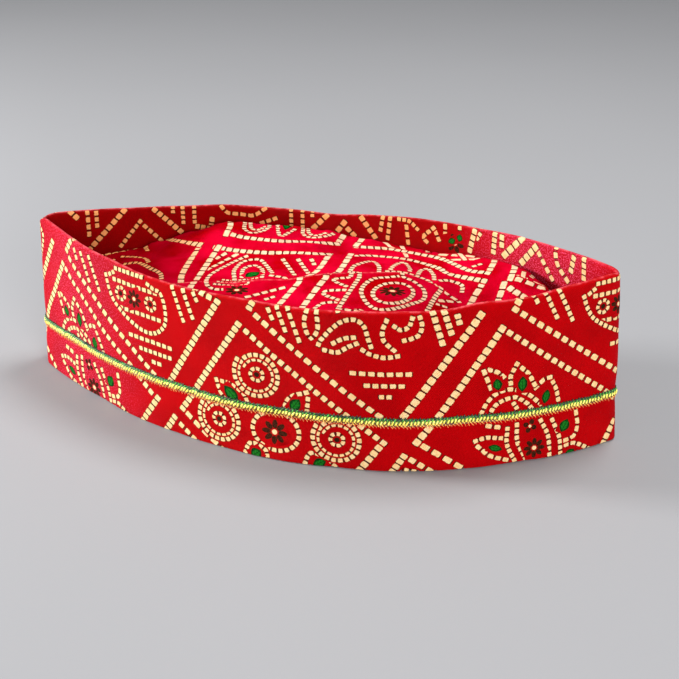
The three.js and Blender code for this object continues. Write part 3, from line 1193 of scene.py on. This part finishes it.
def stitch_rings(draw, low_rise, high_rise, lean, start, radius, distance):
    """Short slanted yarns with round ends, side by side round the cap."""
    count = round(LOOP.length / STITCH_PITCH)
    s = LOOP.start + (np.arange(count) + start) * LOOP.length / count
    stray = np.array([[draw.uniform(-1, 1) for _ in range(4)] for _ in range(count)]) * (STRAY + STRAY)
    low, out_low, _ = wall_frame(s + stray[:, 0], BRAID_MIDDLE + low_rise + stray[:, 1])
    high, out_high, _ = wall_frame(s + lean + stray[:, 2], BRAID_MIDDLE + high_rise + stray[:, 3])
    low = low + out_low * distance
    high = high + out_high * distance * HIGH_END_OUT
    axis = unit(high - low)
    rings = [yarn_ring(mix(low, high, share), axis, out_low, radius * width) for share, width in STITCH_RINGS]
    return np.stack(rings, 1)


class Yarns:
    """Tubes of yarn in one mesh. Each stretch of a tube has a cell of its own in the bake."""

    def __init__(self):
        self.points = []
        self.faces = []
        self.bake = []
        self.slots = []
        self.start = 0
        self.cell = 0

    def bake_place(self, ring, side, stretch, part):
        """Where a corner of the tube's part between two rings lies in the bake."""
        line, column = divmod(self.cell + part // stretch, BAKE_CELLS)
        span = 1 - 2 * CELL_MARGIN
        u = (column + CELL_MARGIN + span * side / YARN_SIDES) / BAKE_CELLS
        v = (line + CELL_MARGIN + span * (part % stretch + ring - part) / stretch) / BAKE_CELLS
        return u, v

    def add(self, rings, closed, stretch, slot):
        """A tube through rings of points, cut into stretches of so many rings."""
        total = len(rings)
        count = total if closed else total - 1
        for i in range(count):
            for k in range(YARN_SIDES):
                corners = ((i, k), (i, k + 1), (i + 1, k + 1), (i + 1, k))
                self.faces.append([self.start + a % total * YARN_SIDES + b % YARN_SIDES for a, b in corners])
                self.bake.extend(self.bake_place(a, b, stretch, i) for a, b in corners)
        self.slots.extend([slot] * (count * YARN_SIDES))
        self.points.extend(rings.reshape(-1, 3))
        self.start += total * YARN_SIDES
        self.cell += math.ceil(count / stretch)


def make_braid(materials):
    names = list(materials)
    yarns = Yarns()
    for name, *sizes in ROPES:
        stretch = round(LOOP.length / ROPE_TWIST * STEPS_PER_TWIST / CORD_STRETCHES)
        s = np.linspace(LOOP.start, LOOP.end, stretch * CORD_STRETCHES, endpoint=False)
        for strand in range(ROPE_STRANDS):
            yarns.add(cord_rings(s, strand, *sizes), True, stretch, names.index(name))
    draw = random.Random(5)
    for name, *sizes in STITCH_ROWS:
        for rings in stitch_rings(draw, *sizes):
            yarns.add(rings, False, len(rings), names.index(name))
    maps = {"OFBake": np.array(yarns.bake)}
    piece = make_object("yarn_braid", yarns.points, yarns.faces, maps, materials.values())
    piece.data.polygons.foreach_set("material_index", yarns.slots)
    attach(piece, "root")
    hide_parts("braid")


def colour(red, green, blue):
    """A screen colour from 0 to 255 as the linear colour that nodes take."""
    def linear(value):
        value /= 255
        return value / 12.92 if value <= 0.04045 else ((value + 0.055) / 1.055) ** 2.4
    return linear(red), linear(green), linear(blue), 1.0


class Value:
    """What a node gives, with the usual signs for sums, differences, products and quotients."""

    def __init__(self, nodes, socket):
        self.nodes = nodes
        self.socket = socket

    def __add__(self, other):
        return self.nodes.math("ADD", self, other)

    def __sub__(self, other):
        return self.nodes.math("SUBTRACT", self, other)

    def __mul__(self, other):
        return self.nodes.math("MULTIPLY", self, other)

    def __truediv__(self, other):
        return self.nodes.math("DIVIDE", self, other)


class Nodes:
    """Short ways to write a material's nodes."""

    def __init__(self, name):
        self.material = bpy.data.materials.new(name)
        self.material.use_nodes = True
        self.tree = self.material.node_tree
        self.shader = self.tree.nodes["Principled BSDF"]

    def set(self, **values):
        for socket, value in values.items():
            self.shader.inputs[socket.replace("_", " ")].default_value = value

    def link(self, value, socket):
        if isinstance(value, Value):
            self.tree.links.new(value.socket, socket)
        else:
            socket.default_value = value

    def node(self, kind, given, output=0, **settings):
        """A node with values given to its sockets, by number or name. Gives one of its outputs."""
        node = self.tree.nodes.new(kind)
        for name, value in settings.items():
            setattr(node, name, value)
        for socket, value in given.items():
            self.link(value, node.inputs[socket])
        return Value(self, node.outputs[output])

    def math(self, operation, *values):
        return self.node("ShaderNodeMath", dict(enumerate(values)), operation=operation)

    def larger(self, a, b):
        return self.math("MAXIMUM", a, b)

    def length(self, x, y):
        return self.math("SQRT", x * x + y * y)

    def smooth(self, value, low, high, start=0.0, end=1.0):
        given = dict(enumerate((value, low, high, start, end)))
        return self.node("ShaderNodeMapRange", given, interpolation_type="SMOOTHSTEP")

    def between(self, value, low, high, soft):
        """1 between two places, and fading to 0 at both of them."""
        return self.smooth(value, low, low + soft) * self.smooth(value, high, high - soft)

    def uv(self, name):
        """A map of the mesh, whole and as its two numbers."""
        whole = self.node("ShaderNodeUVMap", {}, uv_map=name)
        return whole, *(self.node("ShaderNodeSeparateXYZ", {0: whole}, output) for output in (0, 1))

    def noise(self, vector, scale, detail=2.0, roughness=0.5):
        return self.node("ShaderNodeTexNoise",
                         {"Vector": vector, "Scale": scale, "Detail": detail, "Roughness": roughness})

    def mix(self, share, a, b, blend="MIX"):
        return self.node("ShaderNodeMix", {0: share, 6: a, 7: b}, 2, data_type="RGBA", blend_type=blend)

    def paint(self, value):
        self.link(value, self.shader.inputs["Base Color"])

    def bump(self, height, strength, distance):
        given = {"Strength": strength, "Distance": distance, "Height": height}
        self.link(self.node("ShaderNodeBump", given), self.shader.inputs["Normal"])


RED = colour(186, 0, 4)
DEEP_RED = colour(170, 0, 3)
BRIGHT_RED = colour(210, 4, 28)
# Painted sheen: pale pink specks for the weave where light grazes it
SHEEN_PINK = colour(250, 96, 142)
# Painted highlight: pale pink where light catches the folds and creases
FOLD_HIGHLIGHT = colour(240, 96, 104)
# Painted shade: a multiply that darkens the ground, and a darker, warmer cream for the dashes where shade
# falls
PAINTED_SHADE_TONE = (0.64, 0.5, 0.4, 1.0)
SHADED_CREAM = colour(250, 170, 104)
CREAM = colour(255, 222, 165)
WARM_CREAM = colour(255, 204, 138)
# Painted light: the crown's red is the wall's cloth made brighter and pinker, and its creams pinker, for the
# top light on the crown
CROWN_LIT_RED = colour(214, 4, 46)
CROWN_LIT_CREAMS = (colour(248, 210, 174), colour(240, 194, 152))
OUTLINE = colour(42, 8, 2)
LEAF_GREEN = colour(24, 120, 30)
LEAF_DARK = colour(10, 48, 14)
PETAL = colour(74, 34, 16)
PETAL_DARK = colour(34, 14, 6)
EYE_DARK = colour(52, 26, 12)


class Cloth(Nodes):
    """Printed cotton: a red twill ground with the print's marks drawn in their own coordinates."""

    def __init__(self, name):
        super().__init__(name)
        self.place, self.u, self.v = self.uv("cloth")
        _, self.along, self.across = self.uv("local")
        _, self.pitch, self.half_length = self.uv("size")
        _, self.half_width, self.kind = self.uv("form")
        self.threads = self.noise(self.place, 3.2, 2.0, 0.7)
        self.wobble = (self.noise(self.place, 0.9, 3.0) - 0.5) * 0.5
        self.wobble_share = self.wobble / self.half_width
        self.x = self.along / self.half_length
        self.y = self.across / self.half_width
        self.radius = self.length(self.x, self.y)

    def marked(self, kind, mask):
        """A mask inside marks of one kind."""
        return self.math("COMPARE", self.kind, float(kind), 0.4) * mask

    def ground(self, base, sheen_stretches):
        """Red with deeper patches and brighter threads, and pale pink specks of painted sheen in the given
        stretches.
        """
        patches = self.smooth(self.noise(self.place, 0.05, 3.0), 0.35, 0.7)
        paint = self.mix(patches, base, DEEP_RED)
        paint = self.mix(self.smooth(self.threads, 0.5, 0.78, 0, 0.55), paint, BRIGHT_RED)
        # Painted sheen: pale pink specks in each given stretch
        for low, high, soft in sheen_stretches:
            sheen_speckle = self.smooth(self.noise(self.place, 1.5, 2.0, 0.7), 0.46, 0.66, 0.02, 0.7)
            paint = self.mix(sheen_speckle * self.between(self.u, low, high, soft), paint, SHEEN_PINK)
        return paint

    def dashes(self, paint, inks, shade):
        """Cream dashes with rounded corners, dark lines between them and a faint dark edge."""
        end = self.math("ABSOLUTE", self.math("FRACT", self.along) - 0.5) * self.pitch - self.half_length
        side = self.math("ABSOLUTE", self.across) - self.half_width
        rounding = self.half_width * 0.4
        corner = self.length(self.larger(end + rounding, 0.0), self.larger(side + rounding, 0.0))
        distance = corner - rounding + self.wobble
        line = self.smooth(end, 0.6, 0.2) * self.smooth(side, 0.25, -0.15) * 0.95
        edge = self.smooth(distance, 0.45, 0.0) * 0.14
        paint = self.mix(self.marked(DASH, self.larger(line, edge)), paint, OUTLINE)
        ink = self.mix(self.smooth(self.noise(self.place, 0.5, 3.0), 0.35, 0.7), *inks)
        # Painted shade: the cream turns darker and warmer inside the shade mask
        ink = self.mix(shade, ink, SHADED_CREAM)
        return self.mix(self.marked(DASH, self.smooth(distance, 0.12, -0.1)), paint, ink)

    def leaves(self, paint):
        """Pointed green leaves with dark veins and a blotchy dark edge."""
        y = self.math("ABSOLUTE", self.y)
        outline = self.x * self.x + y + self.wobble_share
        ribs = self.smooth(self.math("SINE", self.x * 14.0 + y * -9.0), 0.55, 0.95, 0, 0.6)
        ink = self.mix(self.larger(self.smooth(y, 0.1, 0.02), ribs), LEAF_GREEN, LEAF_DARK)
        blotch = self.smooth(outline + self.noise(self.place, 0.8, 2.0), 0.95, 1.35)
        ink = self.mix(blotch, ink, LEAF_DARK)
        return self.mix(self.marked(LEAF, self.smooth(outline, 1.12, 1.0)), paint, ink)

    def flowers(self, paint):
        """Dark petals round a cream heart. The pitch of a flower is its number of petals."""
        turn = self.math("ARCTAN2", self.y, self.x) / (2 * math.pi)
        step = self.math("FRACT", turn * self.pitch) - 0.5
        petals = self.larger(self.pitch, 1.0)
        sideways = step * self.radius * (2 * math.pi) / petals
        out = (self.radius - 0.66) / 0.34
        wide = sideways / (self.math("DIVIDE", 1.2, petals) + 0.06)
        petal = self.smooth(out * out + wide * wide + self.wobble_share * 2.0, 1.25, 0.9)
        ink = self.mix(self.smooth(self.noise(self.place, 1.6, 3.0), 0.4, 0.65), PETAL, PETAL_DARK)
        paint = self.mix(self.marked(FLOWER, petal), paint, ink)
        return self.mix(self.marked(FLOWER, self.smooth(self.radius, 0.24, 0.17)), paint, CREAM)

    def eyes(self, paint):
        eye = self.smooth(self.radius + self.wobble_share, 1.1, 0.85)
        return self.mix(self.marked(EYE, eye), paint, EYE_DARK)

    def fold_highlight(self, paint, reach):
        """A painted pale pink highlight near the fold that the fold map measures, in patches."""
        _, from_fold, _ = self.uv("fold")
        patches = self.smooth(self.noise(self.place, 0.35, 3.0), 0.4, 0.62, 0.1, 0.75)
        return self.mix(self.smooth(from_fold, *reach) * patches, paint, FOLD_HIGHLIGHT)

    def weave(self):
        """The height of twill lines, finer crossing lines and loose threads."""
        twill = self.math("SINE", (self.u + self.v * 1.15) * 7.4)
        crossing = self.math("SINE", (self.u - self.v * 0.9) * 15.0)
        return (twill + crossing * 0.5) * 0.5 + self.threads * 1.2


def cloth_material(name, base, inks, specular, sheen_stretches, deep, highlight_reach):
    """The stretches of pale pink painted sheen on the weave are given as from, to and how softly, along the
    cloth. The stretch of painted shade is given in the same way, along and up the cloth."""
    cloth = Cloth(name)
    along, up = deep
    # Painted shade: the ground is darkened by a multiply over the given stretch
    shade = cloth.between(cloth.u, *along) * cloth.between(cloth.v, *up)
    paint = cloth.mix(shade, cloth.ground(base, sheen_stretches), PAINTED_SHADE_TONE, "MULTIPLY")
    paint = cloth.dashes(paint, inks, shade)
    paint = cloth.leaves(paint)
    paint = cloth.flowers(paint)
    paint = cloth.eyes(paint)
    # Painted highlight along the fold, over the rest of the paint
    cloth.paint(cloth.fold_highlight(paint, highlight_reach))
    cloth.bump(cloth.weave(), 1.0, 0.00022)
    cloth.set(Roughness=0.65, Specular_IOR_Level=specular)
    return cloth.material


# Yarns of the braid: name, light and dark colour, and how metallic
YARNS = [
    ("green", (84, 190, 50), (24, 96, 20), 0.1),
    ("yellow", (255, 246, 120), (222, 212, 70), 0.1),
    ("gold", (250, 205, 80), (212, 140, 40), 0.1),
    ("orange", (240, 140, 60), (196, 66, 30), 0.1),
    ("dark", (14, 52, 12), (4, 16, 4), 0.0),
    ("olive", (110, 120, 30), (60, 70, 14), 0.1),
    ("brown", (130, 70, 16), (80, 30, 8), 0.1),
]


def yarn_material(name, light, dark, metallic):
    """Metallic yarn with fine bright and dark glints."""
    nodes = Nodes(name)
    place = nodes.node("ShaderNodeTexCoord", {}, "Object")
    glints = nodes.noise(place, 2600, 2.0, 0.6)
    share = (glints + nodes.noise(place, 420, 2.0)) * 0.5
    nodes.paint(nodes.mix(nodes.smooth(share, 0.42, 0.6), light, dark))
    nodes.bump(glints, 0.5, 0.0002)
    nodes.set(Roughness=0.38, Metallic=metallic, Sheen_Weight=0.15)
    return nodes.material


def floor_material():
    nodes = Nodes("pale_floor")
    soft = nodes.noise(nodes.node("ShaderNodeTexCoord", {}, "Object"), 3.0, 2.0)
    nodes.paint(nodes.mix(soft, colour(140, 140, 142), colour(145, 145, 147)))
    nodes.set(Roughness=0.7, Specular_IOR_Level=0.2)
    return nodes.material


# The floor reaches this far and lies a little below the hem, in metres.
FLOOR_REACH = 6.0
FLOOR_DROP = 0.0002
WORLD_COLOUR = (0.95, 0.97, 1.0, 1.0)
WORLD_STRENGTH = 0.36
# Soft round lights: name, place in metres, size and power. They look at a point inside the cap.
LIGHTS = [
    ("key", (-1.1, -0.16, 0.34), 0.25, 26.0),
    ("fill", (0.75, -1.1, 0.42), 0.7, 21.0),
    ("top", (0.25, 0.3, 1.1), 0.45, 12.0),
]
LIGHTS_TARGET = (0, 0, 0.04)


def add_aimed(name, data, place, target):
    """A light or a camera at a place, turned to look at a target, both in metres."""
    thing = bpy.data.objects.new(name, data)
    thing.location = place
    thing.rotation_euler = (Vector(target) - Vector(place)).to_track_quat("-Z", "Y").to_euler()
    bpy.context.scene.collection.objects.link(thing)
    return thing


def make_studio():
    """A pale floor, a soft world and three soft lights."""
    corners = rectangle(-FLOOR_REACH, -FLOOR_REACH, FLOOR_REACH, FLOOR_REACH)
    mesh = bpy.data.meshes.new("floor")
    mesh.from_pydata([(x, y, 0) for x, y in corners], [], [(0, 1, 2, 3)])
    mesh.materials.append(floor_material())
    floor = bpy.data.objects.new("floor", mesh)
    floor.location.z = -FLOOR_DROP
    bpy.context.scene.collection.objects.link(floor)
    world = bpy.data.worlds.new("studio")
    world.use_nodes = True
    background = world.node_tree.nodes["Background"]
    background.inputs[0].default_value = WORLD_COLOUR
    background.inputs[1].default_value = WORLD_STRENGTH
    bpy.context.scene.world = world
    for name, place, size, power in LIGHTS:
        light = bpy.data.lights.new(name, "AREA")
        light.shape = "DISK"
        light.size = size
        light.energy = power
        add_aimed(name, light, place, LIGHTS_TARGET)
    bpy.context.scene.view_settings.view_transform = "Standard"


def make_camera():
    data = bpy.data.cameras.new("camera")
    data.lens = LENS
    data.sensor_width = 36
    data.shift_x, data.shift_y = LENS_SHIFT
    place, target = Vector(CAMERA) * MM, Vector(CAMERA_TARGET) * MM
    bpy.context.scene.camera = add_aimed("camera", data, place, target)


# Stretches of pale pink painted sheen on the wall's weave, along the front and from the back's middle, and
# # of painted shade on the back wall's inside and on the crown's left end: from, to and how softly, along and
# up
FRONT_SHEEN = (-165, -45, 75)
BACK_SHEEN = (-150, -50, 35)
FACING_SHADE = (-70, 40, 40)
CROWN_LEFT_SHADE = ((-160, -38, 45), (-80, 80, 1))


def main():
    make_camera()
    make_studio()
    back = LOOP.back_middle
    # Stretches of painted sheen on the front and on the back
    sheen_stretches = [FRONT_SHEEN, (back + BACK_SHEEN[0], back + BACK_SHEEN[1], BACK_SHEEN[2])]
    # Painted shade over the back wall's inner face
    low, high, soft = FACING_SHADE
    facing = ((back + low, LOOP.end + high, soft), (STRIP_FOLD - 0.5, STRIP_HIGH, 1.0))
    # The last numbers give the reach of the painted highlight along the band's top fold and the crown's
    # crease
    make_band(cloth_material("printed_cloth", RED, (CREAM, WARM_CREAM), 0.03, sheen_stretches, facing, (1.1, 0.2)))
    # The crown's cloth in its painted-light colours, with painted shade at its left end
    make_crown(cloth_material("crown_cloth", CROWN_LIT_RED, CROWN_LIT_CREAMS, 0.0, (), CROWN_LEFT_SHADE, (0.75, 0.25)))
    yarns = {
        name: yarn_material("yarn_" + name, colour(*light), colour(*dark), metallic)
        for name, light, dark, metallic in YARNS
    }
    make_braid(yarns)


main()
